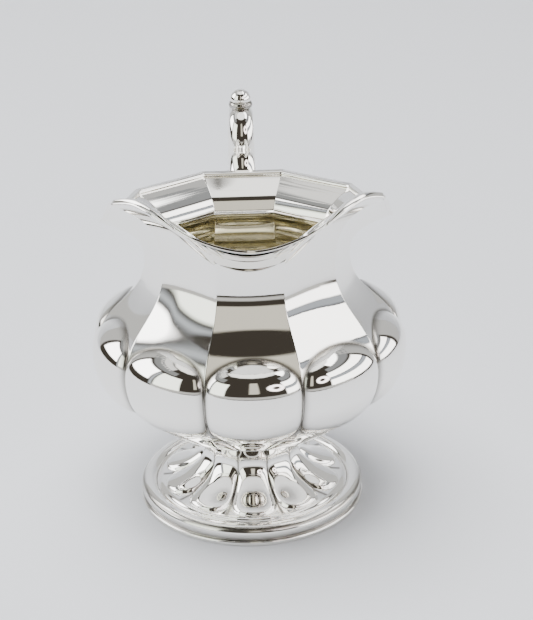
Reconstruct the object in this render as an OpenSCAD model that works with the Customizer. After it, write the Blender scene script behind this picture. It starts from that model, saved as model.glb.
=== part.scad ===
// Ten-panelled silver cream jug: a melon-lobed bowl on a gadrooned foot, with a
// flared neck, a wavy rim that ends in a wide pouring lip, and a loop handle.
// The origin is the centre of the foot on the table. The spout points to -Y.

/* [Bowl] */
// Number of bosses on the bowl, of panels on the neck and of lobes on the foot, always even
lobes = 10; // [8:2:12]
// Radius of the bowl in the creases between the bosses, at its widest
bowl_r = 41.3; // [36:0.1:46]
// Height of the widest level of the bowl above the foot collar
bowl_rise = 27; // [23:0.1:32]
// Radius of the flat bottom that stands on the collar
seat_r = 14.5; // [13:0.1:17]
// How far each boss stands out of the bowl
boss_depth = 4.8; // [2:0.1:6]
// Half of the height of a boss
boss_half = 12.7; // [9:0.1:14]
// Thickness of the silver of the bowl and the neck
wall = 0.8; // [0.6:0.1:1.4]

/* [Neck and rim] */
// Radius of the corners of the neck where it is narrowest
neck_r = 28; // [24:0.1:32]
// Height of the narrowest level of the neck above the widest level of the bowl
neck_rise = 24.7; // [20:0.1:30]
// Height of the rear rim above the narrowest level of the neck
flare_rise = 10.1; // [8:0.1:15]
// Radius of the corners of the rear rim, under its moulding
rim_r = 37.7; // [34:0.1:42]
// Reach of the pouring lip in front of the axis
lip_r = 45; // [40:0.1:50]
// Height of the two shoulders of the rim above the rear rim
shoulder_rise = 16; // [6:0.5:18]
// Depth of the dip between the shoulders, where the lip pours
lip_dip = 8; // [3:0.5:10]
// Width of the rim moulding
moulding_w = 2.4; // [1.8:0.1:3]
// Height of the rim moulding
moulding_h = 1.7; // [1.2:0.1:2.4]

/* [Foot] */
// Height of the foot shell above its base ring
foot_rise = 16.5; // [13:0.1:20]
// Radius of the stem of the foot at its waist
stem_r = 13; // [11.5:0.1:14]
// Radius at which the foot lobes end
foot_lobe_r = 25.3; // [22:0.1:27]
// Height of a foot lobe above the creases beside it
foot_lobe_h = 2.2; // [1:0.1:3]
// Outer radius of the foot
foot_r = 32; // [29:0.1:36]
// Height of the ledge of the base ring that the foot shell stands on
ledge_h = 3.9; // [3:0.1:5]
// Thickness of the flat edge of the base ring
edge_h = 1.3; // [0.8:0.1:2]
// Radius of the half-round of the base ring
ring_round = 2.3; // [1.8:0.1:2.6]
// Depth of the groove between the half-round and the flat edge
groove_d = 0.6; // [0.3:0.1:1]
// Thickness of the collar between the foot and the bowl
collar_h = 0.9; // [0.6:0.1:1.5]

/* [Handle] */
// Width of the handle, across the jug
handle_w = 8.1; // [6:0.1:10]
// Thickness of the handle, in the plane of its loop
handle_t = 5.4; // [4:0.1:7]
// Height of the handle's centre line above the rear rim, at its top
handle_rise = 15.4; // [12:0.1:20]
// Reach of the handle's centre line behind the axis
handle_reach = 68; // [62:0.5:76]
// Thickness of the pad that joins the handle to the bowl
pad_t = 1.6; // [1:0.1:2.5]
// Radius of the bead on top of the handle
bead_r = 3; // [2.5:0.1:3.8]

/* [Hidden] */

silver = [0.80, 0.80, 0.78];
pitch = 360 / lobes;                   // angle of one lobe
half = pitch / 2;                      // from the middle of a panel to its arris
cols = 6;                              // facets across one lobe
ledge_w = 1.8;                         // width of the ledge that carries the foot shell
rim_clear = 0.2;                       // between the foot shell's edge and the half-round
boss_drop = 2.7;                       // how far the bosses sit below the widest level
foot_rows = 13;                        // levels of facets down the foot shell
handle_sides = 12;                     // facets round the handle
collar_rise = 2.2;                     // height of the collar under the bead

// levels, from the table up
foot_top = ledge_h + foot_rise;
seat_z = foot_top + collar_h;
bowl_z = seat_z + bowl_rise;
neck_z = bowl_z + neck_rise;
rim_z = neck_z + flare_rise;
boss_z = bowl_z - boss_drop;

// One point of a cubic curve
function bezier(a, b, c, d, t) =
    pow(1 - t, 3) * a + 3 * pow(1 - t, 2) * t * b + 3 * (1 - t) * t * t * c + pow(t, 3) * d;

function clamp(x, low, high) = max(low, min(high, x));
function fade(x) = (1 - cos(180 * clamp(x, 0, 1))) / 2;
// Angle from the front, 0 to 180
function from_front(phi) = abs((phi + 180) % 360 - 180);
// Angle from the middle of the nearest panel, and how far a flat panel lies inside its arrises
function off_panel(phi) = (phi + half) % pitch - half;
function flat(phi) = cos(half) / cos(off_panel(phi));

// The edge of the rim: level behind the axis, two shoulders, and a dip for the lip
function edge_r(phi) =
    let (a = from_front(phi))
    rim_r + (lip_r - rim_r) * (1 - fade(a / 120));
function edge_z(phi) =
    let (a = from_front(phi), t = clamp((90 - a) / 50, 0, 1))
    rim_z + shoulder_rise * sin(90 * pow(t, 1.2)) - lip_dip * (1 - fade(a / 45));

// Outside of the body. v runs 0..1 up the bowl, 1..2 over the shoulder to the
// waist of the neck and 2..3 up the flare to the rim; the result is [radius, height].
bowl_curve = [[seat_r, seat_z], [seat_r + 8, seat_z + 1.9],
              [bowl_r, seat_z + 0.41 * bowl_rise], [bowl_r, bowl_z]];
function waist(phi) = [neck_r, neck_z + 0.18 * (edge_z(phi) - rim_z)];
function profile(phi, v) =
    v <= 1 ? bezier(bowl_curve[0], bowl_curve[1], bowl_curve[2], bowl_curve[3], v)
  : v <= 2 ? bezier([bowl_r, bowl_z], [bowl_r, bowl_z + 0.5 * neck_rise],
                    [neck_r, waist(phi)[1] - 0.5 * neck_rise], waist(phi), v - 1)
  : let (w = waist(phi), e = [edge_r(phi), edge_z(phi)], up = e[1] - w[1])
    bezier(w, w + [0, 0.62 * up], e - [0.5 * (e[0] - w[0]), 0.22 * up], e, v - 2);
// How flat the panels are: round at the bottom of the bowl, and round again on the lip
function flatness(phi, v) =
    v <= 1 ? fade((v - 0.35) / 0.3)
  : v <= 2 ? 1
  : 1 - pow(v - 2, 2) * clamp(1 - from_front(phi) / 60, 0, 1);
// Height of the boss at a point of the bowl
function boss(phi, z) =
    let (u = abs(off_panel(phi) / half), w = abs((z - boss_z) / boss_half))
    boss_depth * pow(max(0, 1 - pow(u, 2) - pow(w, 4.6)), 0.7);
function outside(phi, v) =
    let (p = profile(phi, v), k = flatness(phi, v))
    [p[0] * (1 - k + k * flat(phi)) + (v < 1.7 ? boss(phi, p[1]) : 0), p[1]];
// Inside of the body, one wall further in along the section's normal
function inside(phi, v) =
    let (p = outside(phi, v), d = outside(phi, v + 0.01) - outside(phi, v - 0.01))
    p + wall / norm(d) * [-d[1], d[0]];

// A point from its angle, radius and height
function polar(phi, p) = [p[0] * sin(phi), -p[0] * cos(phi), p[1]];
angles = [for (i = [0 : lobes * cols - 1]) i * pitch / cols];

function reversed(list) = [for (i = [len(list) - 1 : -1 : 0]) list[i]];

// A closed skin over rings of equally many points. The ends are capped, or joined up.
// Its faces point outwards when each ring runs anticlockwise, seen from the last ring.
module loft(rings, joined = false) {
    n = len(rings);
    m = len(rings[0]);
    side = [for (i = [0 : n - (joined ? 1 : 2)], j = [0 : m - 1])
        let (k = (i + 1) % n, l = (j + 1) % m)
        each [[i * m + j, k * m + j, k * m + l], [i * m + j, k * m + l, i * m + l]]];
    caps = joined ? [] : [[for (j = [0 : m - 1]) j], [for (j = [m - 1 : -1 : 0]) (n - 1) * m + j]];
    polyhedron([for (ring = rings, p = ring) p], concat(side, caps), convexity = 8);
}

// Levels of the body's skin. The inside stops short of the rim and of the flat bottom.
outer_levels = concat([for (i = [0 : 12]) i / 12], [for (i = [1 : 10]) 1 + i / 10],
                      [for (i = [1 : 7]) 2 + i / 7]);
inner_levels = [for (i = [len(outer_levels) - 2 : -1 : 1]) outer_levels[i]];

module body_shell() {
    color(silver)
    loft(concat(
        [for (v = outer_levels) [for (phi = angles) polar(phi, outside(phi, v))]],
        [[for (phi = angles) polar(phi, outside(phi, 3) - [1.2 * wall, 0])]],
        [for (v = inner_levels) [for (phi = angles) polar(phi, inside(phi, v))]],
        [[for (phi = angles) polar(phi, [seat_r - wall, seat_z + wall])]]));
}

// The bowl as a filled solid: what a piece on its outside is bedded on
module bowl_solid() {
    loft([for (v = outer_levels) if (v < 2) [for (phi = angles) polar(phi, outside(phi, v))]]);
}

// Section of the rim moulding, outwards and upwards from the rim's edge: three reeds
reeds = [[-0.62, 0], [0.33, 0], [0.42, 0.3], [0.3, 0.55], [0.14, 0.58], [0.1, 0.88],
         [-0.08, 1], [-0.2, 0.84], [-0.38, 0.94], [-0.6, 0.75], [-0.69, 0.35]];
moulding_start = 25;                   // angle from the front at which the moulding ends
taper_angle = 9;                       // over which its ends taper
function reed_point(phi, p) =
    let (s = 0.35 + 0.65 * fade((from_front(phi) - moulding_start) / taper_angle))
    outside(phi, 3) + [p[0] * moulding_w, p[1] * moulding_h] * s;

module rim_moulding() {
    // the corners of the rim, and the two ends
    corners = concat([moulding_start], [for (phi = angles) if (from_front(phi) > moulding_start) phi],
                     [360 - moulding_start]);
    color(silver)
    loft(reversed([for (phi = corners) [for (p = reeds) polar(phi, reed_point(phi, p))]]));
}

// The foot shell: a trumpet with convex lobes that fade out on the stem
foot_curve = [[stem_r + 1, foot_top], [stem_r - 1.8, ledge_h + 0.48 * foot_rise],
              [stem_r + 1, ledge_h + 0.12 * foot_rise], [foot_lobe_r, ledge_h + 1.5]];
foot_end = foot_r - 2 * ring_round - 0.4;
// Share of its full height that a foot lobe has: it grows down the stem and ends round
function foot_lobe(phi, t) =
    let (u = abs(off_panel(phi) / half), w = max(0, (t - 0.7) / 0.3))
    fade((t - 0.05) / 0.6) * sqrt(max(0, 1 - pow(u, 2.6) - pow(w, 2.6)));
function foot_outside(phi, t) =
    bezier(foot_curve[0], foot_curve[1], foot_curve[2], foot_curve[3], t)
    + foot_lobe(phi, t) * foot_lobe_h * [0.45, 0.9];

module foot_shell() {
    edge = [foot_end, ledge_h];
    color(silver)
    loft(reversed(concat(
        [for (i = [0 : foot_rows]) [for (phi = angles) polar(phi, foot_outside(phi, i / foot_rows))]],
        [[for (phi = angles) polar(phi, edge + [0, wall])]],
        [[for (phi = angles) polar(phi, edge)]],
        [[for (phi = angles) polar(phi, edge - [ledge_w, 0])]],
        [for (i = [foot_rows - 1 : -1 : 1]) [for (phi = angles)
            polar(phi, foot_outside(phi, i / foot_rows) - wall * [0.75, 0.75])]],
        [[for (phi = angles) polar(phi, foot_outside(phi, 0) - [wall, 0])]])), joined = true);
}

// The collar covers the top of the foot and the edge of the bowl's flat bottom
module foot_collar() {
    inner_r = min(stem_r - 1.4, seat_r - 2.9);
    outer_r = max(stem_r + 1.1, seat_r - 0.4);
    color(silver)
    translate([0, 0, foot_top])
    rotate_extrude($fn = 96) {
        translate([inner_r, 0]) square([outer_r - inner_r, collar_h]);
        translate([outer_r, collar_h / 2]) circle(d = collar_h, $fn = 24);
    }
}

module foot_ring() {
    inner_r = foot_end - ledge_w;
    round_r = foot_end + rim_clear + ring_round;
    round_z = ledge_h - 0.6;
    channel_w = round_r + ring_round - groove_d - inner_r - 2 * wall;
    color(silver)
    rotate_extrude($fn = 120)
    difference() {
        union() {
            translate([inner_r, 0]) square([foot_r - inner_r, edge_h]);
            translate([inner_r, 0]) square([round_r - inner_r, ledge_h]);
            translate([inner_r, 0]) square([channel_w + 2 * wall, round_z]);
            translate([round_r, round_z]) circle(r = ring_round, $fn = 64);
        }
        // the ring is a hollow channel, open to the table
        translate([inner_r + wall, -1]) square([channel_w, round_z + 1]);
        translate([round_r, round_z]) circle(r = ring_round - wall, $fn = 48);
    }
}

// Centre line of the handle, [behind the axis, height]: out of the flare, up past the
// rim, over the top and down the back to the pad on the rear boss
handle_top = rim_z + handle_rise;
finial_y = edge_r(180) + 9.3;
pad_y = outside(180, 1)[0] + pad_t;
pad_z = boss_z;
handle_line = [
    [[neck_r - handle_t, neck_z + 3], [rim_r - 2, rim_z - 5],
     [rim_r + 2.5, rim_z], [rim_r + 2.9, rim_z + 7]],
    [[rim_r + 2.9, rim_z + 7], [rim_r + 3.3, rim_z + 12],
     [finial_y - 4.5, handle_top], [finial_y, handle_top]],
    [[finial_y, handle_top], [finial_y + 12, handle_top],
     [handle_reach, rim_z + 11], [handle_reach, rim_z - 6]],
    [[handle_reach, rim_z - 6], [handle_reach, neck_z - 15], [pad_y + 14, pad_z], [pad_y, pad_z]]];
function handle_at(s) =
    let (i = min(3, floor(s)), c = handle_line[i])
    bezier(c[0], c[1], c[2], c[3], s - i);
// How much of its full width the handle has: narrower over the top and at the pad
function handle_size(s) = 1 - 0.13 * sin(45 * clamp(s, 0, 4)) - 0.08 * fade(s - 3);
function handle_ring(s) =
    let (p = handle_at(s), d = handle_at(min(4, s + 0.01)) - handle_at(max(0, s - 0.01)),
         n = [-d[1], d[0]] / norm(d), k = handle_size(s))
    [for (j = [0 : handle_sides - 1])
        let (a = -360 * j / handle_sides,
             q = p + n * k * handle_t / 2 * sin(a))
        [k * handle_w / 2 * cos(a), q[0], q[1]]];
// The body and its moulding behind the axis, cut along the middle: what the handle fits
module rear_section() {
    polygon(concat([[0, neck_z - 8]],
        [for (v = outer_levels) if (v > 1.7) outside(180, v)],
        [for (i = [1 : 6]) reed_point(180, reeds[i])],
        [[0, reed_point(180, reeds[6])[1]]]));
}
finial_z = handle_top + handle_size(2) * handle_t / 2 - 0.6;

module handle() {
    color(silver)
    difference() {
        loft([for (i = [0 : 32]) handle_ring(i / 8)]);
        rotate([90, 0, 90]) linear_extrude(height = 2 * handle_w, center = true) rear_section();
        translate([0, finial_y, finial_z]) cylinder(h = handle_t, r = 1.6 * bead_r, $fn = 48);
    }
}

// An oval pad bedded on the rear boss, with a flat face for the end of the handle.
// Each ring is [share of the handle's width, distance in front of that face].
pad_rings = [[1.45, 2 * pad_t], [1.5, pad_t / 2], [1.3, pad_t / 5], [1.05, 0]];
module handle_pad() {
    size = handle_size(4) / 2;
    color(silver)
    difference() {
        loft(reversed([for (ring = pad_rings) [for (a = [0 : 15 : 345])
            [ring[0] * size * handle_w * cos(a), pad_y - ring[1],
             pad_z + ring[0] * size * handle_t * sin(a)]]]));
        bowl_solid();
    }
}

module finial_collar() {
    color(silver)
    translate([0, finial_y, finial_z])
    rotate_extrude($fn = 64)
    polygon([[0, 0], [0.95 * bead_r, 0], [1.14 * bead_r, 0.5], [1.16 * bead_r, 1.2],
             [1.08 * bead_r, 1.8], [0.9 * bead_r, collar_rise], [0, collar_rise]]);
}

module finial_bead() {
    color(silver)
    translate([0, finial_y, finial_z + collar_rise])
    rotate_extrude($fn = 64)
    intersection() {
        translate([0, 0.12 * bead_r]) circle(r = bead_r, $fn = 64);
        square([2 * bead_r, 2 * bead_r]);
    }
}

body_shell();
rim_moulding();
foot_shell();
foot_collar();
foot_ring();
handle();
handle_pad();
finial_collar();
finial_bead();
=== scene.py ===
"""Silver cream jug: the looks, built round the packed frame as a Blender add-on."""

import math

import bmesh
import bpy
import numpy as np
from bpy.props import FloatProperty, FloatVectorProperty, IntProperty, PointerProperty
from mathutils import Matrix, Vector


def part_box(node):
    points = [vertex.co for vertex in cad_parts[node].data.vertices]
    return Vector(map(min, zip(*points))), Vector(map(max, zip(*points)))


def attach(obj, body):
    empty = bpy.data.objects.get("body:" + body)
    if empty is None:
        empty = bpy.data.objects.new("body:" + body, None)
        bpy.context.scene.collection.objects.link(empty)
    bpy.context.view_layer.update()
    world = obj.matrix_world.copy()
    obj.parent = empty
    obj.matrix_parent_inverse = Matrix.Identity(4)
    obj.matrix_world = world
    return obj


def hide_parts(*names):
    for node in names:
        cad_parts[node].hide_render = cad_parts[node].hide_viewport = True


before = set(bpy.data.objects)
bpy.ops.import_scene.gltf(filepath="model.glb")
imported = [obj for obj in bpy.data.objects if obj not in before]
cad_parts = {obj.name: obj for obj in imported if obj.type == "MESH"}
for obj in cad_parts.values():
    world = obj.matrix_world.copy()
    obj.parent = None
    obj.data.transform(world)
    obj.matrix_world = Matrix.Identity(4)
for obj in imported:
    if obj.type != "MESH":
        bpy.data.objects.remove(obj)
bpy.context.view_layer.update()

bl_info = {
    "name": "Silver Cream Jug",
    "version": (1, 0, 0),
    "blender": (4, 5, 0),
    "location": "3D View > Sidebar > Jug",
    "description": "Builds a lobed silver cream jug, its polish and its studio",
    "category": "Object",
}

BODY = "root"
TAU = 2 * math.pi
MERGE = 1e-6  # points closer than this, in metres, become one


def low(node):
    """Lowest corner of a CAD node, in metres."""
    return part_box(node)[0]


def high(node):
    """Highest corner of a CAD node, in metres."""
    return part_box(node)[1]


def size_prop(name, default, description):
    """A length, in metres."""
    return FloatProperty(name=name, default=default, description=description,
                         unit="LENGTH", precision=5)


def color_prop(name, default, description):
    """A colour."""
    return FloatVectorProperty(name=name, default=default, description=description,
                               subtype="COLOR", size=3, min=0, max=1)


def angle_prop(name, degrees, description):
    """An angle, given in degrees."""
    return FloatProperty(name=name, default=math.radians(degrees), description=description,
                         subtype="ANGLE")


# ---------------------------------------------------------------- sizes

class BowlSizes(bpy.types.PropertyGroup):
    """The bowl and its bosses."""
    lobes: IntProperty(name="Lobes", default=10, min=6, max=16,
                       description="Bosses round the bowl, panels on the neck, lobes on the foot")
    crease_r: size_prop("Crease radius", 0.0413, "Radius in the creases between the bosses")
    seat_r: size_prop("Seat radius", 0.0145, "Radius of the flat bottom on the collar")
    seat_z: size_prop("Seat height", low("body_shell")[2], "Height of the flat bottom")
    wide_z: size_prop("Widest height", low("body_shell")[2] + 0.0270, "Height of the widest level")
    boss_depth: size_prop("Boss depth", 0.0048, "How far a boss stands out")
    boss_half: size_prop("Boss half height", 0.0127, "Half of the height of a boss")
    boss_drop: size_prop("Boss drop", 0.0027, "How far a boss's middle lies below the widest level")
    wall: size_prop("Wall", 0.0008, "Thickness of the sheet")


class RimSizes(bpy.types.PropertyGroup):
    """The neck, the rim and its moulding."""
    neck_r: size_prop("Neck radius", 0.028, "Radius of the neck's corners at the waist")
    neck_z: size_prop("Waist height", low("body_shell")[2] + 0.0517, "Height of the waist")
    rim_r: size_prop("Rim radius", 0.0377, "Radius of the rear rim's corners")
    rim_z: size_prop("Rim height", low("body_shell")[2] + 0.0618, "Height of the rear rim")
    lip_r: size_prop("Lip reach", -low("body_shell")[1], "Reach of the pouring lip")
    shoulder: size_prop("Shoulder rise", 0.016, "Height of the shoulders above the rear rim")
    dip: size_prop("Lip dip", 0.008, "Depth of the dip between the shoulders")
    moulding_w: size_prop("Moulding width", 0.0024, "Width of the reeded moulding")
    moulding_h: size_prop("Moulding height", 0.0017, "Height of the reeded moulding")


class FootSizes(bpy.types.PropertyGroup):
    """The foot shell and the base ring."""
    stem_r: size_prop("Stem radius", 0.013, "Radius of the stem's waist")
    ledge_h: size_prop("Ledge height", low("foot_shell")[2], "Height of the ledge under the shell")
    top_z: size_prop("Foot top", high("foot_shell")[2], "Height of the foot shell's top")
    lobe_r: size_prop("Lobe reach", 0.0253, "Radius at which the lobes end")
    lobe_h: size_prop("Lobe height", 0.0022, "Height of a lobe above its creases")
    outer_r: size_prop("Foot radius", high("foot_ring")[0], "Outer radius of the foot")
    edge_h: size_prop("Edge thickness", 0.0013, "Thickness of the flat edge")
    round_r: size_prop("Half-round radius", 0.0023, "Radius of the half-round moulding")
    groove: size_prop("Groove depth", 0.0006, "Depth of the groove above the flat edge")


class HandleSizes(bpy.types.PropertyGroup):
    """The loop handle and its bead."""
    width: size_prop("Width", 0.0081, "Width across the jug")
    depth: size_prop("Depth", 0.0054, "Thickness in the plane of the loop")
    rise: size_prop("Rise", 0.0154, "Top of the centre line above the rear rim")
    reach: size_prop("Reach", 0.068, "Reach of the centre line behind the axis")
    pad: size_prop("Pad", 0.0016, "Thickness of the pad on the rear boss")
    bead_r: size_prop("Bead radius", 0.0030, "Radius of the bead")


class FinishSizes(bpy.types.PropertyGroup):
    """The polish."""
    silver: color_prop("Silver", (0.93, 0.915, 0.885), "Colour of the polished silver")
    # The dark colour painted into the creases and grooves as shade, and onto the bead's collar as a dark
    # reflection.
    painted_dark: color_prop("Shade_and_reflection", (0.10, 0.088, 0.070), "Colour left in the creases")
    # The darker, warmer colour painted low inside the bowl as shade.
    inner_shade: color_prop("Shade_inside", (0.72, 0.66, 0.42), "Warm tint low inside the bowl")


class StudioSizes(bpy.types.PropertyGroup):
    """The camera and the studio."""
    azimuth: angle_prop("Azimuth", -2.0, "Turn of the camera about the jug")
    elevation: angle_prop("Elevation", 23.98, "Height of the camera above the table, as an angle")
    roll: angle_prop("Roll", -0.91, "Tilt of the camera")
    distance: size_prop("Distance", 0.450, "Camera to the point it looks at")
    lens: FloatProperty(name="Lens", default=109.8, description="Focal length, in millimetres")
    aim_x: size_prop("Aim across", 0.005, "Point the camera looks at, across")
    aim_z: size_prop("Aim height", 0.0562, "Point the camera looks at, height")
    table: color_prop("Table", (0.74, 0.76, 0.80), "Colour of the table and backdrop")


GROUPS = {
    "jug_bowl": BowlSizes,
    "jug_rim": RimSizes,
    "jug_foot": FootSizes,
    "jug_handle": HandleSizes,
    "jug_finish": FinishSizes,
    "jug_studio": StudioSizes,
}


# ---------------------------------------------------------------- shader expressions

class Value:
    """A node socket that takes part in Python expressions. Each operation adds a Math node."""

    def __init__(self, graph, socket):
        self.graph = graph
        self.socket = socket

    def math(self, operation, *others, **settings):
        return self.graph.node("ShaderNodeMath", [self, *others], operation=operation, **settings)

    def __add__(self, other):
        return self.math("ADD", other)

    def __radd__(self, other):
        return self.math("ADD", other)

    def __rsub__(self, other):
        return self.graph.node("ShaderNodeMath", [other, self], operation="SUBTRACT")

    def __mul__(self, other):
        return self.math("MULTIPLY", other)

    def __rmul__(self, other):
        return self.math("MULTIPLY", other)

    def clamped(self):
        """Kept within 0 to 1."""
        return self.math("ADD", 0.0, use_clamp=True)

    def between(self, start, end):
        """0 at start, 1 at end, smooth between them."""
        return self.graph.node("ShaderNodeMapRange", {"Value": self, "From Min": start, "From Max": end},
                               interpolation_type="SMOOTHSTEP")


class Graph:
    """Adds nodes to a tree."""

    def __init__(self, tree):
        self.tree = tree

    def node(self, kind, values=(), output=0, **settings):
        node = self.tree.nodes.new(kind)
        for name, value in settings.items():
            setattr(node, name, value)
        pairs = values.items() if isinstance(values, dict) else enumerate(values)
        for name, value in pairs:
            if isinstance(value, Value):
                self.tree.links.new(value.socket, node.inputs[name])
            else:
                node.inputs[name].default_value = value
        return Value(self, node.outputs[output])

    def noise(self, place, scale, detail):
        """Cloudy noise, from 0 to 1; scale is in blotches a metre."""
        return self.node("ShaderNodeTexNoise", {"Vector": place, "Scale": scale, "Detail": detail},
                         output="Fac")

    def attribute(self, name):
        """A value stored on the mesh."""
        return self.node("ShaderNodeAttribute", attribute_name=name, output="Fac")

    def mix(self, factor, a, b):
        """Colour a where factor is 0, b where it is 1."""
        rgba = [value if isinstance(value, Value) else (*value, 1) for value in (a, b)]
        node = self.node("ShaderNodeMix", {"Factor": factor}, data_type="RGBA", output=2)
        for index, value in zip((6, 7), rgba):
            socket = node.socket.node.inputs[index]
            if isinstance(value, Value):
                self.tree.links.new(value.socket, socket)
            else:
                socket.default_value = value
        return node


HAIR_STRETCH = (1.0, 1.0, 9.0)
SHADED_SILVER = (0.97, 0.955, 0.92)  # share of the silver's colour left in the cloudy patches
INNER_SHADE_FADE = (0.050, 0.080)  # heights between which the tint inside the bowl dies out
DENT_DEPTH = 0.0004
HAIR_DEPTH = 0.00005


def silver(name, roughness=0.035, groove_shade=False, inner_shade=False, dark_reflection=0.0):
    """Polished silver: soft dents, polishing hairs, a bloom of handling, painted shade in the creases and
    low inside the bowl, and a painted dark reflection where asked.
    """
    finish = bpy.context.scene.jug_finish
    material = bpy.data.materials.new(name)
    material.use_nodes = True
    tree = material.node_tree
    shader = tree.nodes["Principled BSDF"]
    graph = Graph(tree)
    place = graph.node("ShaderNodeTexCoord", output="Object")
    bloom = graph.noise(place, 90.0, 3.0)
    cloud = graph.noise(place, 35.0, 2.0)
    stretch = graph.node("ShaderNodeMapping", {"Vector": place, "Scale": HAIR_STRETCH})
    hairs = graph.noise(stretch, 700.0, 3.0)
    shine = bloom.between(0.45, 0.8) * 0.03 + hairs.between(0.5, 0.8) * 0.03 + roughness
    color = graph.mix(cloud.between(0.35, 0.75) * 0.25, finish.silver,
                      [c * k for c, k in zip(finish.silver, SHADED_SILVER)])
    # Painted dark reflection: the colour is mixed far towards the dark colour, by the given share and a
    # little cloud.
    if dark_reflection:
        color = graph.mix(cloud.between(0.3, 0.7) * 0.4 + dark_reflection, color, finish.painted_dark)
    # Painted shade: low inside the bowl the colour turns darker and warmer, fading out upwards, and the
    # silver is rougher there.
    if inner_shade:
        height = graph.node("ShaderNodeSeparateXYZ", {"Vector": place}, output="Z")
        inner_shade_mask = graph.attribute("inner") * (1 - height.between(*INNER_SHADE_FADE))
        color = graph.mix(inner_shade_mask * 0.75, color, finish.inner_shade)
        shine = shine + inner_shade_mask * 0.16
    # Painted shade in the creases and grooves, patchy with the bloom; the silver is rougher there too.
    if groove_shade:
        painted_shade = (graph.attribute("groove") * (0.55 + 0.6 * bloom)).clamped()
        color = graph.mix(painted_shade, color, finish.painted_dark)
        shine = shine + painted_shade * 0.25
    dents = graph.noise(place, 60.0, 1.0)
    bump = graph.node("ShaderNodeBump", {"Strength": 0.08, "Distance": DENT_DEPTH, "Height": dents})
    fine = graph.node("ShaderNodeBump", {"Strength": 0.02, "Distance": HAIR_DEPTH, "Height": hairs,
                                         "Normal": bump})
    shader.inputs["Metallic"].default_value = 1.0
    for socket, value in (("Base Color", color), ("Roughness", shine), ("Normal", fine)):
        tree.links.new(value.socket, shader.inputs[socket])
    return material


# ---------------------------------------------------------------- shapes

def bezier(points, t):
    """Points of a cubic curve at the values t."""
    a, b, c, d = (np.asarray(p, float) for p in points)
    t = np.asarray(t, float)[..., None]
    return (1 - t) ** 3 * a + 3 * (1 - t) ** 2 * t * b + 3 * (1 - t) * t * t * c + t ** 3 * d


def fade(x):
    """0 to 1, smoothly."""
    return (1 - np.cos(np.pi * np.clip(x, 0, 1))) / 2


def from_front(phi):
    """Angle from the front, 0 to 180 degrees."""
    return np.abs((phi + 180) % 360 - 180)


LIP_SPREAD = 120  # angle from the front over which the lip draws in to the rim
SHOULDER_FOOT = 90  # angle from the front at which the shoulders start to rise
SHOULDER_RUN = 50
DIP_SPREAD = 45
WAIST_LIFT = 0.18  # share of the rim's rise that the waist follows
BOSS_SQUARENESS = 4.6  # power of the height in a boss's outline
BOSS_FULLNESS = 0.7  # power of a boss's section
BOSS_TOP_LEVEL = 1.7  # the bosses end below this level
LEVEL_STEP = 0.01


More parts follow.
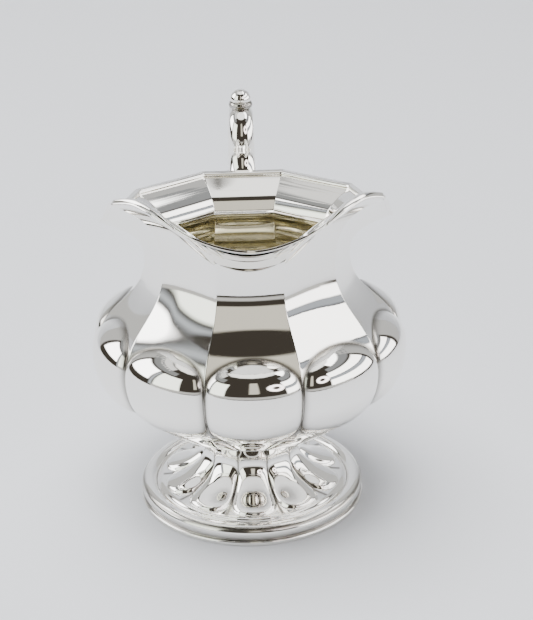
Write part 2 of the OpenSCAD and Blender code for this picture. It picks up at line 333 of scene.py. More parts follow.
class Jug:
    """The surfaces of the jug, as functions of an angle from the front and a level.

    The levels are 0 at the seat, 1 at the widest, 2 at the waist and 3 at the rim.
    """

    def __init__(self, scene):
        self.bowl, self.rim, self.foot = scene.jug_bowl, scene.jug_rim, scene.jug_foot
        self.pitch = 360 / self.bowl.lobes
        self.half = self.pitch / 2

    def off_panel(self, phi):
        return (phi + self.half) % self.pitch - self.half

    def flat(self, phi):
        return math.cos(math.radians(self.half)) / np.cos(np.radians(self.off_panel(phi)))

    def edge_r(self, phi):
        rim = self.rim
        return rim.rim_r + (rim.lip_r - rim.rim_r) * (1 - fade(from_front(phi) / LIP_SPREAD))

    def edge_z(self, phi):
        rim = self.rim
        a = from_front(phi)
        t = np.clip((SHOULDER_FOOT - a) / SHOULDER_RUN, 0, 1)
        rise = rim.shoulder * np.sin(np.pi / 2 * t ** 1.2)
        return rim.rim_z + rise - rim.dip * (1 - fade(a / DIP_SPREAD))

    def profile(self, phi, v):
        """Radius and height on the section at the angles phi and the levels v."""
        bowl, rim = self.bowl, self.rim
        seat, wide = bowl.seat_z, bowl.wide_z
        neck_rise = rim.neck_z - wide
        zero = 0 * phi
        v = zero + v
        waist_z = rim.neck_z + WAIST_LIFT * (self.edge_z(phi) - rim.rim_z)
        waist = np.stack([rim.neck_r + zero, waist_z], -1)
        edge = np.stack([self.edge_r(phi), self.edge_z(phi)], -1)
        up = edge[:, 1] - waist[:, 1]
        out = edge[:, 0] - waist[:, 0]
        bottom = bezier([(bowl.seat_r, seat), (bowl.seat_r + 0.008, seat + 0.0019),
                         (bowl.crease_r, seat + 0.41 * (wide - seat)), (bowl.crease_r, wide)], v)
        shoulder = bezier([(bowl.crease_r, wide), (bowl.crease_r, wide + 0.5 * neck_rise),
                           waist - (0, 0.5 * neck_rise), waist], v - 1)
        flare = bezier([waist, waist + np.stack([zero, 0.62 * up], -1),
                        edge - np.stack([0.5 * out, 0.22 * up], -1), edge], v - 2)
        level = v[:, None]
        return np.where(level <= 1, bottom, np.where(level <= 2, shoulder, flare))

    def flatness(self, phi, v):
        """How flat the panels are: round at the bottom of the bowl, and round again on the lip."""
        front = np.clip(1 - from_front(phi) / 60, 0, 1)
        return np.where(v <= 1, fade((v - 0.35) / 0.3), 1 - np.clip(v - 2, 0, 1) ** 2 * front)

    def boss_reach(self, phi, z, inset=0.0):
        """0 in the middle of a boss, 1 on its outline, set in from its true outline by a length."""
        half_w = self.bowl.crease_r * math.sin(math.radians(self.half))
        u = np.abs(self.off_panel(phi) / self.half) / (1 - inset / half_w)
        w = np.abs(z - self.bowl.wide_z + self.bowl.boss_drop) / (self.bowl.boss_half - inset)
        return np.sqrt(u ** 2 + w ** BOSS_SQUARENESS)

    def skin(self, phi, v, inset=0.0):
        """The body's surface at columns phi and levels v: the outside, or set in by the wall."""
        point = self.profile(phi, v)
        if inset:
            along = self.profile(phi, v + LEVEL_STEP) - self.profile(phi, v - LEVEL_STEP)
            along /= np.linalg.norm(along, axis=-1, keepdims=True)
            point = point + inset * np.stack([-along[:, 1], along[:, 0]], -1)
        k = self.flatness(phi, v)
        r = point[:, 0] * (1 - k + k * self.flat(phi))
        reach = self.boss_reach(phi, point[:, 1], inset)
        swell = self.bowl.boss_depth * np.maximum(0, 1 - reach ** 2) ** BOSS_FULLNESS
        return np.stack([r + (v < BOSS_TOP_LEVEL) * swell, point[:, 1]], -1)

    def outline(self, phi):
        """Levels at which each column enters and leaves its boss."""
        steps = np.linspace(0.2, BOSS_TOP_LEVEL, 600)
        heights = np.stack([self.profile(phi, 0 * phi + v)[:, 1] for v in steps], -1)
        u = np.abs(self.off_panel(phi) / self.half)
        least = 0.0008  # keeps the two levels apart in the creases
        half = self.bowl.boss_half * np.maximum(1 - u ** 2, least) ** (1 / BOSS_SQUARENESS)
        middle = self.bowl.wide_z - self.bowl.boss_drop
        return [np.array([np.interp(middle + side * h, z, steps) for h, z in zip(half, heights)])
                for side in (-1, 1)]


def polar(phi, point):
    """Points from angles in degrees and [radius, height]."""
    a = np.radians(phi)
    return np.stack([point[..., 0] * np.sin(a), -point[..., 0] * np.cos(a), point[..., 1]], -1)


def store(mesh, key, values):
    """Stores a value on each point of a mesh, for its material to read."""
    data = mesh.attributes.new(key, "FLOAT", "POINT").data
    data.foreach_set("value", np.asarray(values, np.float32))


def loft(name, rings, attributes=None):
    """A smooth closed skin over rings of equally many points, with its ends capped."""
    n, m = len(rings), len(rings[0])
    i, j = np.meshgrid(np.arange(n - 1), np.arange(m), indexing="ij")
    after = (j + 1) % m
    quads = np.stack([i * m + j, i * m + after, (i + 1) * m + after, (i + 1) * m + j], -1)
    faces = quads.reshape(-1, 4).tolist()
    faces += [list(range(m))[::-1], list(range((n - 1) * m, n * m))]
    mesh = bpy.data.meshes.new(name)
    mesh.from_pydata(np.concatenate(rings).tolist(), [], faces)
    for key, values in (attributes or {}).items():
        store(mesh, key, np.concatenate(values))
    mesh.shade_smooth()
    return mesh


def outward(mesh):
    """Closes the poles of a closed mesh and turns its faces outwards."""
    work = bmesh.new()
    work.from_mesh(mesh)
    bmesh.ops.remove_doubles(work, verts=work.verts, dist=MERGE)
    bmesh.ops.recalc_face_normals(work, faces=work.faces)
    work.to_mesh(mesh)
    work.free()


def finish_piece(name, mesh, material, node):
    """Makes the object that stands for a CAD node."""
    outward(mesh)
    mesh.materials.clear()
    mesh.materials.append(material)
    piece = bpy.data.objects.new(name, mesh)
    bpy.context.scene.collection.objects.link(piece)
    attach(piece, BODY)
    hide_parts(node)
    return piece


# ---------------------------------------------------------------- pieces

def lobe_angles(jug, steps):
    """Angles round the jug, closer together towards the creases between the lobes."""
    k = np.arange(-steps, steps) / steps
    share = 0.2 * k + 0.8 * np.sin(np.pi / 2 * k)
    return np.concatenate([i * jug.pitch + share * jug.half for i in range(jug.bowl.lobes)])


def swing(steps):
    """0 to 1, closer together at both ends."""
    return fade(np.linspace(0, 1, steps))


CREASE_SPREAD = 0.075  # how far the painted shade reaches from a boss's outline, as a share of the boss


class JUG_OT_body(bpy.types.Operator):
    """Bowl, neck and pouring lip, raised from one sheet"""
    bl_idname = "jug.body"
    bl_label = "Bowl and neck"

    def execute(self, context):
        jug = Jug(context.scene)
        wall = jug.bowl.wall
        phi = lobe_angles(jug, 18)
        enter, leave = jug.outline(phi)
        # the rows follow the outlines of the bosses, and lie closer together beside them
        rows = [enter * t for t in 1 - np.linspace(1, 0, 26) ** 1.7]
        rows += [enter + (leave - enter) * t for t in swing(50)[1:]]
        rows += [leave + (2 - leave) * t for t in np.linspace(0, 1, 44)[1:] ** 1.5]
        rows += [0 * phi + v for v in np.linspace(2, 3, 46)[1:]]
        outer = [jug.skin(phi, v) for v in rows]
        rim = [outer[-1] + (-share * wall, lift * wall)
               for share, lift in ((0.15, 0.25), (0.6, 0.4), (1.05, 0.25))]
        inner = [jug.skin(phi, v, wall) for v in rows[-1:0:-2]]
        bottom = np.tile((jug.bowl.seat_r - wall, jug.bowl.seat_z + wall), (len(phi), 1))
        rings = outer + rim + inner + [bottom]
        # Painted shade in the creases round each boss.
        crease = [np.exp(-((jug.boss_reach(phi, ring[:, 1]) - 1.01) / CREASE_SPREAD) ** 2)
                  * (v < BOSS_TOP_LEVEL) for ring, v in zip(outer, rows)]
        blank = [0 * phi] * (len(rings) - len(outer))
        inside = [0 * phi] * (len(outer) + len(rim)) + [0 * phi + 1] * (len(inner) + 1)
        mesh = loft("bowl_and_neck", [polar(phi, ring) for ring in rings],
                    attributes={"groove": crease + blank, "inner": inside})
        finish_piece("bowl_and_neck", mesh, silver("polished_bowl", groove_shade=True, inner_shade=True),
                     "body_shell")
        return {"FINISHED"}


# the moulding's section, as shares of its width and height: two reeds on a flat bottom
REEDS = [(-0.62, 0), (0.33, 0), (0.42, 0.3), (0.3, 0.55), (0.14, 0.58), (0.1, 0.88),
         (-0.08, 1), (-0.2, 0.84), (-0.38, 0.94), (-0.6, 0.75), (-0.69, 0.35)]
MOULDING_START = 25
TAPER_ANGLE = 9
TAPERED = 0.35  # share of the moulding's size left at its ends


def reed_ring(jug, phi):
    """The moulding's section at one angle."""
    rim = jug.rim
    angle = np.full(len(REEDS), float(phi))
    share = TAPERED + (1 - TAPERED) * fade((from_front(phi) - MOULDING_START) / TAPER_ANGLE)
    section = np.array(REEDS) * (rim.moulding_w, rim.moulding_h) * share
    return polar(angle, jug.skin(angle, 3.0) + section)


class JUG_OT_moulding(bpy.types.Operator):
    """Reeded moulding along the rim, from one side of the lip round to the other"""
    bl_idname = "jug.moulding"
    bl_label = "Rim moulding"

    def execute(self, context):
        jug = Jug(context.scene)
        angles = np.linspace(MOULDING_START, 360 - MOULDING_START, 311)
        mesh = loft("rim_reeds", [reed_ring(jug, phi) for phi in angles])
        finish_piece("rim_reeds", mesh, silver("rim_wire"), "rim_moulding")
        return {"FINISHED"}


# ---------------------------------------------------------------- geometry nodes

class Tree:
    """A geometry node tree with named inputs, which ends in Realize Instances and Set Material."""

    def __init__(self, name, inputs):
        self.tree = bpy.data.node_groups.new(name, "GeometryNodeTree")
        face = self.tree.interface
        face.new_socket("Geometry", in_out="INPUT", socket_type="NodeSocketGeometry")
        for label, kind in inputs.items():
            face.new_socket(label, in_out="INPUT", socket_type="NodeSocket" + kind)
        face.new_socket("Material", in_out="INPUT", socket_type="NodeSocketMaterial")
        face.new_socket("Geometry", in_out="OUTPUT", socket_type="NodeSocketGeometry")
        self.inputs = self.tree.nodes.new("NodeGroupInput").outputs

    def node(self, kind, values, output=0, **settings):
        node = self.tree.nodes.new(kind)
        for name, value in settings.items():
            setattr(node, name, value)
        for name, value in values.items():
            if isinstance(value, bpy.types.NodeSocket):
                self.tree.links.new(value, node.inputs[name])
            else:
                node.inputs[name].default_value = value
        return node.outputs[output]

    def end(self, geometry):
        whole = self.node("GeometryNodeRealizeInstances", {"Geometry": geometry})
        merged = self.node("GeometryNodeMergeByDistance", {"Geometry": whole, "Distance": MERGE})
        done = self.node("GeometryNodeSetMaterial", {
            "Geometry": merged, "Material": self.inputs["Material"]})
        self.tree.links.new(done, self.tree.nodes.new("NodeGroupOutput").inputs[0])
        return self.tree


def turned_tree():
    """Turns a section, drawn as a curve, round the jug's axis."""
    build = Tree("turned", {"Path Radius": "Float", "Segments": "Int"})
    circle = build.node("GeometryNodeCurvePrimitiveCircle", {
        "Radius": build.inputs["Path Radius"], "Resolution": build.inputs["Segments"]})
    return build.end(build.node("GeometryNodeCurveToMesh", {
        "Curve": circle, "Profile Curve": build.inputs["Geometry"]}))


def swept_tree():
    """Sweeps an oval along a curve, whose radius scales it."""
    build = Tree("swept", {"Width": "Float", "Depth": "Float", "Sides": "Int"})
    circle = build.node("GeometryNodeCurvePrimitiveCircle", {
        "Radius": 0.5, "Resolution": build.inputs["Sides"]})
    size = build.node("ShaderNodeCombineXYZ", {
        "X": build.inputs["Width"], "Y": build.inputs["Depth"], "Z": 1.0})
    oval = build.node("GeometryNodeTransform", {"Geometry": circle, "Scale": size})
    radius = build.node("GeometryNodeInputRadius", {})
    return build.end(build.node("GeometryNodeCurveToMesh", {
        "Curve": build.inputs["Geometry"], "Profile Curve": oval, "Scale": radius, "Fill Caps": True}))


def ring_tree():
    """Repeats one lobe round the jug's axis."""
    build = Tree("ring_of_lobes", {"Count": "Int"})
    spots = build.node("GeometryNodeMeshLine", {
        "Count": build.inputs["Count"], "Offset": (0.0, 0.0, 0.0)})
    index = build.node("GeometryNodeInputIndex", {})
    share = build.node("ShaderNodeMath", {0: index, 1: build.inputs["Count"]}, operation="DIVIDE")
    angle = build.node("ShaderNodeMath", {0: share, 1: TAU}, operation="MULTIPLY")
    turn = build.node("ShaderNodeCombineXYZ", {"Z": angle})
    return build.end(build.node("GeometryNodeInstanceOnPoints", {
        "Points": spots, "Instance": build.inputs["Geometry"], "Rotation": turn}))


def grown(name, data, tree, material, values):
    """The plain mesh that a tree makes from a curve or mesh."""
    source = bpy.data.objects.new(name, data)
    bpy.context.scene.collection.objects.link(source)
    modifier = source.modifiers.new("build", "NODES")
    modifier.node_group = tree
    sockets = {item.name: item.identifier
               for item in tree.interface.items_tree if item.in_out == "INPUT"}
    for label, value in {**values, "Material": material}.items():
        modifier[sockets[label]] = value
    bpy.context.view_layer.update()
    evaluated = source.evaluated_get(bpy.context.evaluated_depsgraph_get())
    mesh = bpy.data.meshes.new_from_object(evaluated)
    mesh.name = name
    source.modifiers.remove(modifier)
    bpy.data.objects.remove(source)
    mesh.shade_smooth()
    return mesh


def drawn(name, points, radii=None, closed=False):
    """A curve through points."""
    curve = bpy.data.curves.new(name, "CURVE")
    curve.dimensions = "3D"
    spline = curve.splines.new("POLY")
    spline.points.add(len(points) - 1)
    for index, point in enumerate(points):
        spline.points[index].co = (*point, 1.0)
        spline.points[index].radius = 1.0 if radii is None else radii[index]
    spline.use_cyclic_u = closed
    return curve


PATH_RADIUS = 0.01  # of the circle that a turned piece's section is swept along


def turned(name, section, material, centre=(0, 0), closed=False, segments=192):
    """A turned piece from its section of [radius, height], round an upright axis at centre."""
    points = [(r - PATH_RADIUS, -z, 0.0) for r, z in section]
    mesh = grown(name, drawn(name, points, closed=closed), turned_tree(), material,
                 {"Path Radius": PATH_RADIUS, "Segments": segments})
    mesh.transform(Matrix.Translation((*centre, 0)))
    return mesh


def arc(centre, radius, start, end, steps):
    """Points on an arc, from one angle to another in degrees."""
    return [(centre[0] + radius * math.cos(a), centre[1] + radius * math.sin(a))
            for a in np.radians(np.linspace(start, end, steps))]


def softened(corners, radius, steps=6):
    """An outline with its corners rounded."""
    points = []
    for index, corner in enumerate(corners):
        before, after = np.array(corners[index - 1]), np.array(corners[(index + 1) % len(corners)])
        corner = np.array(corner)
        start = corner + (before - corner) / np.linalg.norm(before - corner) * radius
        end = corner + (after - corner) / np.linalg.norm(after - corner) * radius
        for t in np.linspace(0, 1, steps):
            points.append(tuple((1 - t) ** 2 * start + 2 * (1 - t) * t * corner + t * t * end))
    return points


# ---------------------------------------------------------------- foot

LEDGE_GAP = 0.0004  # between the ledge and the half-round
LEDGE_W = 0.0018
GROOVE_SHADE_W = 0.0004  # half width of the painted shade line in the base ring's groove
EDGE_ROUND = 0.00045
RING_EASE = 0.0002


class JUG_OT_foot(bpy.types.Operator):
    """Foot shell with hollow lobes"""
    bl_idname = "jug.foot"
    bl_label = "Foot shell"

    def execute(self, context):
        jug = Jug(context.scene)
        foot = jug.foot
        wall = jug.bowl.wall
        rise = foot.top_z - foot.ledge_h
        curve = [(foot.stem_r + 0.001, foot.top_z), (foot.stem_r - 0.0018, foot.ledge_h + 0.48 * rise),
                 (foot.stem_r + 0.001, foot.ledge_h + 0.12 * rise), (foot.lobe_r, foot.ledge_h + 0.0015)]
        k = np.linspace(-1, 1, 41)
        u = 0.25 * k + 0.75 * np.sin(np.pi / 2 * k)
        phi = u * jug.half

        def lobe(t):
            w = max(0.0, (t - 0.7) / 0.3)
            return fade((t - 0.05) / 0.6) * np.sqrt(np.maximum(0, 1 - np.abs(u) ** 2.6 - w ** 2.6))

        def outer(t, inset=0.0):
            swell = lobe(t) * (foot.lobe_h - inset / 2)
            return bezier(curve, 0 * phi + t) + swell[:, None] * (0.45, 0.9) - 0.75 * inset

        ones = np.ones((len(phi), 1))
        edge = np.array([foot.outer_r - 2 * foot.round_r - LEDGE_GAP, foot.ledge_h])
        tips = 0.7 + 0.3 * np.sin(np.pi / 2 * np.linspace(0, 1, 30)[1:])
        steps = np.concatenate([np.linspace(0, 0.7, 50), tips])
        rings = [outer(t) for t in steps]
        end = rings[-1][0]
        brim = bezier([end, end + (0.001, 0), edge + (-0.0006, wall), edge + (0, wall)],
                      np.linspace(0, 1, 8))
        rings += [ones * point for point in brim[1:]]
        rings += [ones * edge, ones * (edge - (LEDGE_W, 0))]
        rings += [outer(t, wall) for t in steps[-2:0:-2]]
        rings.append(outer(0.0) - (wall, 0))
        # Painted shadow in the grooves between the lobes, fading in from the stem.
        shadow = np.exp(-((np.abs(u) - 1) / 0.07) ** 2)
        groove = [shadow * float(fade(t / 0.15)) for t in steps] + [0 * u] * (len(rings) - len(steps))
        wedge = self.wedge([polar(phi, ring) for ring in rings], groove)
        material = silver("polished_foot", groove_shade=True)
        mesh = grown("foot_gadroons", wedge, ring_tree(), material, {"Count": jug.bowl.lobes})
        finish_piece("foot_gadroons", mesh, material, "foot_shell")
        return {"FINISHED"}

    def wedge(self, rings, groove):
        """One lobe of the foot as an open strip; its rings close up from the outside to the inside."""
        n, m = len(rings), len(rings[0])
        faces = [(i * m + j, i * m + j + 1, (i + 1) % n * m + j + 1, (i + 1) % n * m + j)
                 for i in range(n) for j in range(m - 1)]
        mesh = bpy.data.meshes.new("foot_lobe")
        mesh.from_pydata(np.concatenate(rings).tolist(), [], faces)
        store(mesh, "groove", np.concatenate(groove))
        return mesh


BEAD_LIFT = 0.12  # height of the bead's middle over its collar, as a share of its radius


class JUG_OT_turned(bpy.types.Operator):
    """Base ring, foot collar, and the bead and its collar on the handle"""
    bl_idname = "jug.turned"
    bl_label = "Turned pieces"

    def execute(self, context):
        jug = Jug(context.scene)
        self.base_ring(jug)
        self.foot_collar(jug)
        self.finial(context.scene.jug_handle)
        return {"FINISHED"}

    def base_ring(self, jug):
        foot, wall = jug.foot, jug.bowl.wall
        end = foot.outer_r - 2 * foot.round_r - LEDGE_GAP
        inner = end - LEDGE_W
        middle = (end + RING_EASE + foot.round_r, foot.ledge_h - 0.0006)
        groove_r = middle[0] + foot.round_r - foot.groove
        corner = (foot.outer_r - EDGE_ROUND, foot.edge_h - EDGE_ROUND)
        section = [(inner, 0), (inner, foot.ledge_h), (end + RING_EASE, foot.ledge_h)]
        section += arc(middle, foot.round_r, 165, -12, 40)
        section += [(groove_r, foot.edge_h + 0.0004), (groove_r + 0.0001, foot.edge_h)]
        section += arc(corner, EDGE_ROUND, 90, 0, 8)
        section += [(foot.outer_r, RING_EASE), (foot.outer_r - RING_EASE, 0), (groove_r - wall, 0)]
        section += arc(middle, foot.round_r - wall, -10, 180, 16)
        section += [(inner + wall, foot.ledge_h - wall), (inner + wall, 0)]
        material = silver("ring_wire", groove_shade=True)
        mesh = turned("base_ring", section, material, closed=True, segments=256)
        radius = np.array([vertex.co.xy.length for vertex in mesh.vertices])
        # Painted shade: a dark line along the groove above the flat edge.
        store(mesh, "groove", np.exp(-((radius - groove_r) / GROOVE_SHADE_W) ** 2))
        finish_piece("base_ring", mesh, material, "foot_ring")

    def foot_collar(self, jug):
        bottom, top = low("foot_collar")[2], high("foot_collar")[2]
        half = (top - bottom) / 2
        outer = high("foot_collar")[0] - half
        inner = jug.foot.stem_r - 0.0014
        section = [(inner, bottom), *arc((outer, bottom + half), half, -90, 90, 16), (inner, top)]
        material = silver("collar_wire")
        finish_piece("foot_collar_wire", turned("foot_collar_wire", section, material, closed=True),
                     material, "foot_collar")

    def finial(self, handle):
        centre = ((low("finial_bead")[0] + high("finial_bead")[0]) / 2,
                  (low("finial_bead")[1] + high("finial_bead")[1]) / 2)
        base, top = low("finial_collar")[2], high("finial_collar")[2]
        r = handle.bead_r
        rise = top - base
        side = [(0.95 * r, base), (1.14 * r, base + 0.23 * rise), (1.16 * r, base + 0.55 * rise),
                (1.08 * r, base + 0.82 * rise), (0.9 * r, top)]
        section = [(0, base), *softened(side, 0.0002)[3:-3], (0.9 * r, top), (0, top)]
        # Painted dark reflection on the collar, much darker than the bead.
        material = silver("collar_cast", roughness=0.12, dark_reflection=0.45)
        finish_piece("bead_collar", turned("bead_collar", section, material, centre),
                     material, "finial_collar")
        lift = BEAD_LIFT * r
        edge = -math.degrees(math.asin(BEAD_LIFT))
        section = [(0, top)] + arc((0, top + lift), r, edge, 90, 28)
        material = silver("bead_cast")
        finish_piece("bead", turned("bead", section, material, centre),
                     material, "finial_bead")


CROWN_OUT = 0.0093  # crown of the handle behind the rear rim
BED_DEPTH = 0.0004  # how deep the handle's root is bedded in the flare
# the pad's rings, from the boss to the handle: share of the handle's section, share of the pad's thickness
PAD_RINGS = ((1.5, 1.38), (1.5, 0.8), (1.49, 0.5), (1.42, 0.28), (1.3, 0.12), (1.15, 0.02), (1.0, 0.0))


class JUG_OT_handle(bpy.types.Operator):
    """Cast loop handle and its pad on the rear boss"""
    bl_idname = "jug.handle"
    bl_label = "Handle"

    def execute(self, context):
        jug = Jug(context.scene)
        handle = context.scene.jug_handle
        rim = jug.rim
        back = np.array([180.0])
        top = rim.rim_z + handle.rise
        crown = jug.edge_r(back)[0] + CROWN_OUT
        pad_y = jug.skin(back, 1.0)[0, 0] + handle.pad
        pad_z = jug.bowl.wide_z - jug.bowl.boss_drop
        line = [[(rim.neck_r - handle.depth, rim.neck_z + 0.003), (rim.rim_r - 0.002, rim.rim_z - 0.005),
                 (rim.rim_r + 0.0025, rim.rim_z), (rim.rim_r + 0.0029, rim.rim_z + 0.007)],
                [(rim.rim_r + 0.0029, rim.rim_z + 0.007), (rim.rim_r + 0.0033, rim.rim_z + 0.012),
                 (crown - 0.0045, top), (crown, top)],
                [(crown, top), (crown + 0.012, top),
                 (handle.reach, rim.rim_z + 0.011), (handle.reach, rim.rim_z - 0.006)],
                [(handle.reach, rim.rim_z - 0.006), (handle.reach, rim.neck_z - 0.015),
                 (pad_y + 0.014, pad_z), (pad_y, pad_z)]]
        share = np.linspace(0, 1, 41)
        path = np.concatenate([bezier(piece, share)[0 if first else 1:]
                               for first, piece in zip((True, False, False, False), line)])
        place = np.linspace(0, 4, len(path))
        radii = 1 - 0.13 * np.sin(np.radians(45 * place)) - 0.08 * fade(place - 3)
        material = silver("cast_handle")
        curve = drawn("loop_handle", [(0.0, y, z) for y, z in path], radii)
        mesh = grown("loop_handle", curve, swept_tree(), material,
                     {"Width": handle.width, "Depth": handle.depth, "Sides": 48})
        self.seat(mesh, jug, (crown, low("finial_collar")[2]), 1.6 * handle.bead_r)
        finish_piece("loop_handle", mesh, material, "handle")
        self.pad(handle, pad_y, pad_z, radii[-1])
        return {"FINISHED"}

    def seat(self, mesh, jug, crown, reach):
        """Beds the handle's root on the flare and the moulding, and flattens its crown for the collar."""
        back = np.array([180.0])
        section = np.array([jug.skin(back, v)[0] for v in np.linspace(1.7, 3, 60)])
        reeds = section[-1] + np.array(REEDS)[1:6] * (jug.rim.moulding_w, jug.rim.moulding_h)
        section = np.concatenate([section, reeds])
        for vertex in mesh.vertices:
            x, y, z = vertex.co
            if z < section[-1, 1]:
                vertex.co.y = max(y, np.interp(z, section[:, 1], section[:, 0]) - BED_DEPTH)
            if math.hypot(x, y - crown[0]) < reach:
                vertex.co.z = min(z, crown[1])

    def pad(self, handle, pad_y, pad_z, size):
        """An oval pad, with a soft edge, between the handle and the rear boss."""
        a = np.linspace(0, TAU, 64, endpoint=False)
        rings = []
        for spread, sink in PAD_RINGS:
            x = spread * size * handle.width / 2 * np.cos(a)
            z = pad_z + spread * size * handle.depth / 2 * np.sin(a)
            rings.append(np.stack([x, 0 * a + pad_y - sink * handle.pad, z], -1))
        finish_piece("handle_pad_oval", loft("handle_pad_oval", rings), silver("cast_pad"),
                     "handle_pad")


# ---------------------------------------------------------------- studio

def emitter(name, color, strength):
    """A material that glows where its card's glow attribute is 1, and is clear where it is 0."""
    material = bpy.data.materials.new(name)
    material.use_nodes = True
    tree = material.node_tree
    tree.nodes.clear()
    graph = Graph(tree)
    glow = graph.node("ShaderNodeEmission", {"Color": (*color, 1), "Strength": strength})
    clear = graph.node("ShaderNodeBsdfTransparent")
    both = graph.node("ShaderNodeMixShader", [graph.attribute("glow"), clear, glow])
    surface = tree.nodes.new("ShaderNodeOutputMaterial")
    tree.links.new(both.socket, surface.inputs["Surface"])
    return material


ROOM_RADIUS = 1.6
RING_RADIUS = 0.9 * ROOM_RADIUS
SOFT_EDGE = 2.5  # degrees
EYE = Vector((0, 0, 0.05))  # the cards' angles are seen from here


def direction(azimuth, elevation):
    """Unit vector from angles in degrees: azimuth 0 is in front, 90 on the right."""
    az, el = math.radians(azimuth), math.radians(elevation)
    return Vector((math.sin(az) * math.cos(el), -math.cos(az) * math.cos(el), math.sin(el)))


def hung(name, verts, faces, glow, material):
    """A card that only the silver sees. It fades out where glow is 0."""
    mesh = bpy.data.meshes.new(name)
    mesh.from_pydata([tuple(v) for v in verts], [], faces)
    store(mesh, "glow", glow)
    mesh.materials.append(material)
    piece = bpy.data.objects.new(name, mesh)
    bpy.context.scene.collection.objects.link(piece)
    piece.visible_camera = False
    piece.visible_diffuse = False
    piece.visible_shadow = False
    return piece


def card_steps(size):
    """Shares across a card of that many degrees, from -0.5 to 0.5, with a narrow step at each edge."""
    edge = SOFT_EDGE / size
    return np.concatenate([[0], np.linspace(edge, 1 - edge, 13), [1]]) - 0.5


def card(name, azimuth, elevation, width, height, material):
    """A curved card on the room's walls, its place and its size given as angles. Its edges are soft."""
    across = card_steps(width)
    up = card_steps(height)
    verts = [EYE + ROOM_RADIUS * direction(azimuth + width * x, elevation + height * y)
             for y in up for x in across]
    glow = [float(abs(x) < 0.5 and abs(y) < 0.5) for y in up for x in across]
    m = len(across)
    faces = [(j * m + i, j * m + i + 1, (j + 1) * m + i + 1, (j + 1) * m + i)
             for j in range(len(up) - 1) for i in range(m - 1)]
    return hung(name, verts, faces, glow, material)


def ring_light(name, azimuth, elevation, radii, material):
    """A round lamp; its radii are angles, from its soft outer edge to the hole in the middle."""
    out = direction(azimuth, elevation)
    across = Vector((math.cos(math.radians(azimuth)), math.sin(math.radians(azimuth)), 0))
    up = out.cross(across)
    steps = 48
    spokes = [math.cos(a) * across + math.sin(a) * up for a in np.linspace(0, TAU, steps, endpoint=False)]
    verts = [EYE + RING_RADIUS * (out + math.tan(math.radians(r)) * spoke)
             for r in radii for spoke in spokes]
    pairs = [(i, (i + 1) % steps) for i in range(steps)]
    faces = [(k * steps + i, k * steps + j, (k + 1) * steps + j, (k + 1) * steps + i)
             for k in range(len(radii) - 1) for i, j in pairs]
    glow = [0.0] * steps + [1.0] * steps * (len(radii) - 2) + [0.1] * steps
    return hung(name, verts, faces, glow, material)


# name, azimuth, elevation, width and height in degrees, colour, strength
SURROUNDINGS = [
    ("left_window", -101, 28, 46, 35, (1.0, 1.0, 1.0), 7.0),
    ("left_frame", -75, 22, 6, 44, (0.62, 0.66, 0.70), 1.2),
    ("left_pane", -53, 23, 38, 44, (0.95, 1.0, 0.90), 3.2),
    ("left_blind", -100, 53, 100, 13, (0.70, 0.72, 0.72), 0.55),
    ("right_window", 80, 11, 74, 20, (1.0, 0.99, 0.98), 5.0),
    ("right_rail", 80, 24, 74, 10, (0.66, 0.71, 0.78), 0.9),
    ("right_pane", 80, 36, 74, 19, (1.0, 0.99, 0.98), 5.0),
    ("right_blind", 100, 53, 100, 13, (0.70, 0.72, 0.74), 0.55),
    ("high_right", 110, 66, 80, 18, (1.0, 1.0, 1.0), 6.0),
    ("high_left", -115, 61, 90, 14, (0.86, 0.86, 0.84), 1.6),
    ("ceiling", 0, 79, 360, 24, (1.0, 1.0, 0.98), 2.2),
    ("front_wall", 1.5, 33, 14, 40, (0.82, 0.78, 0.66), 1.25),
    ("table_edge", 0, 0, 150, 9, (0.84, 0.83, 0.80), 0.95),
    ("rear_left", -152, 28, 50, 62, (0.76, 0.76, 0.74), 0.95),
    ("rear_right", 150, 28, 60, 62, (0.74, 0.74, 0.73), 0.95),
    ("rear_wall", 178, 28, 30, 62, (0.74, 0.76, 0.80), 0.95),
]


ROOM_GLOW = (0.060, 0.052, 0.042)  # the dim room between the cards


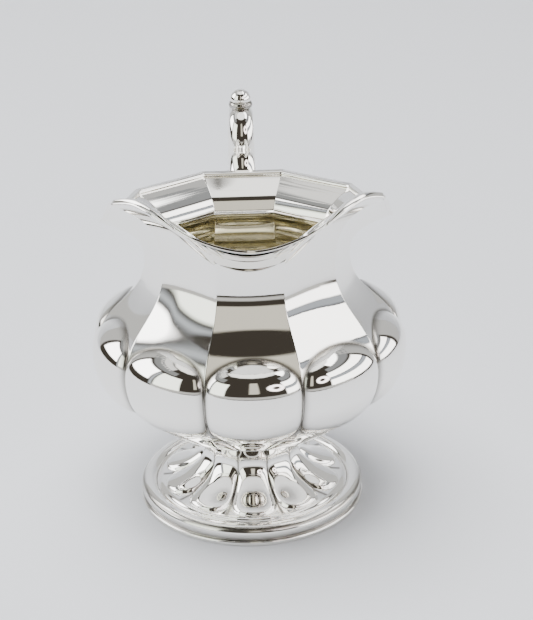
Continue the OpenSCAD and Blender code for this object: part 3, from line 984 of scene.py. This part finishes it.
class JUG_OT_stage(bpy.types.Operator):
    """Table, backdrop, soft lights and the camera"""
    bl_idname = "jug.stage"
    bl_label = "Studio"

    def execute(self, context):
        scene = context.scene
        studio = scene.jug_studio
        self.sweep(studio)
        self.surroundings()
        self.fill_light()
        self.camera(scene, studio)
        world = bpy.data.worlds.new("room")
        scene.world = world
        world.use_nodes = True
        world.node_tree.nodes["Background"].inputs["Color"].default_value = (*ROOM_GLOW, 1)
        return {"FINISHED"}

    def surroundings(self):
        """What the polished silver mirrors: windows on both sides, walls, a ceiling and a ring light."""
        for name, azimuth, elevation, width, height, color, strength in SURROUNDINGS:
            card("softbox_" + name, azimuth, elevation, width, height,
                 emitter("glow_" + name, color, strength))
        ring_light("softbox_ring", 31, 29, (13, 10, 6.5, 3.8),
                   emitter("glow_ring", (1.0, 0.92, 0.91), 5.0))

    def fill_light(self):
        """Lights the table from above, unseen in the silver."""
        data = bpy.data.lights.new("overhead", "AREA")
        data.shape = "DISK"
        data.size = 1.4
        data.energy = 70
        lamp = bpy.data.objects.new("overhead", data)
        lamp.location = (-0.2, -0.1, 1.7)
        lamp.visible_glossy = False
        bpy.context.scene.collection.objects.link(lamp)

    def sweep(self, studio):
        """A seamless table that curves up into the backdrop."""
        material = bpy.data.materials.new("seamless_paper")
        material.use_nodes = True
        shader = material.node_tree.nodes["Principled BSDF"]
        shader.inputs["Base Color"].default_value = (*studio.table, 1)
        shader.inputs["Roughness"].default_value = 0.85
        width = 2.4
        front = -0.55
        back = 0.75
        bend = 0.5
        height = 1.1
        line = [(front, 0.0), (back, 0.0)]
        line += [(back + bend * math.sin(a), bend * (1 - math.cos(a)))
                 for a in np.linspace(0, math.pi / 2, 16)[1:]]
        line.append((back + bend, height))
        verts = [(x, y, z) for y, z in line for x in (-width / 2, width / 2)]
        faces = [(2 * i, 2 * i + 1, 2 * i + 3, 2 * i + 2) for i in range(len(line) - 1)]
        mesh = bpy.data.meshes.new("seamless")
        mesh.from_pydata(verts, [], faces)
        mesh.shade_smooth()
        mesh.materials.append(material)
        piece = bpy.data.objects.new("seamless", mesh)
        bpy.context.scene.collection.objects.link(piece)

    def camera(self, scene, studio):
        az, el, roll = studio.azimuth, studio.elevation, studio.roll
        back = Vector((math.sin(az) * math.cos(el), -math.cos(az) * math.cos(el), math.sin(el)))
        right = (-back).cross(Vector((0, 0, 1))).normalized()
        up = right.cross(-back)
        across = math.cos(roll) * right + math.sin(roll) * up
        above = math.cos(roll) * up - math.sin(roll) * right
        place = Vector((studio.aim_x, 0, studio.aim_z)) + back * studio.distance
        data = bpy.data.cameras.new("camera")
        data.lens = studio.lens
        data.sensor_width = 36
        data.sensor_fit = "HORIZONTAL"
        data.clip_start = 0.01
        camera = bpy.data.objects.new("camera", data)
        camera.matrix_world = Matrix.Translation(place) @ Matrix((across, above, back)).transposed().to_4x4()
        scene.collection.objects.link(camera)
        scene.camera = camera


OPERATORS = [JUG_OT_body, JUG_OT_moulding, JUG_OT_foot, JUG_OT_turned, JUG_OT_handle, JUG_OT_stage]


class JUG_PT_panel(bpy.types.Panel):
    """Lists the jug's sizes and its pieces"""
    bl_label = "Cream jug"
    bl_idname = "JUG_PT_panel"
    bl_space_type = "VIEW_3D"
    bl_region_type = "UI"
    bl_category = "Jug"

    def draw(self, context):
        for name, group in GROUPS.items():
            box = self.layout.box()
            box.label(text=group.__doc__)
            for key in group.__annotations__:
                box.prop(getattr(context.scene, name), key)
        for operator in OPERATORS:
            self.layout.operator(operator.bl_idname)


CLASSES = [*GROUPS.values(), *OPERATORS, JUG_PT_panel]


def register():
    for cls in CLASSES:
        bpy.utils.register_class(cls)
    for name, group in GROUPS.items():
        setattr(bpy.types.Scene, name, PointerProperty(type=group))


def unregister():
    for name in GROUPS:
        delattr(bpy.types.Scene, name)
    for cls in reversed(CLASSES):
        bpy.utils.unregister_class(cls)


def main():
    register()
    for operator in OPERATORS:
        group, name = operator.bl_idname.split(".")
        getattr(getattr(bpy.ops, group), name)()


if __name__ == "__main__":
    main()
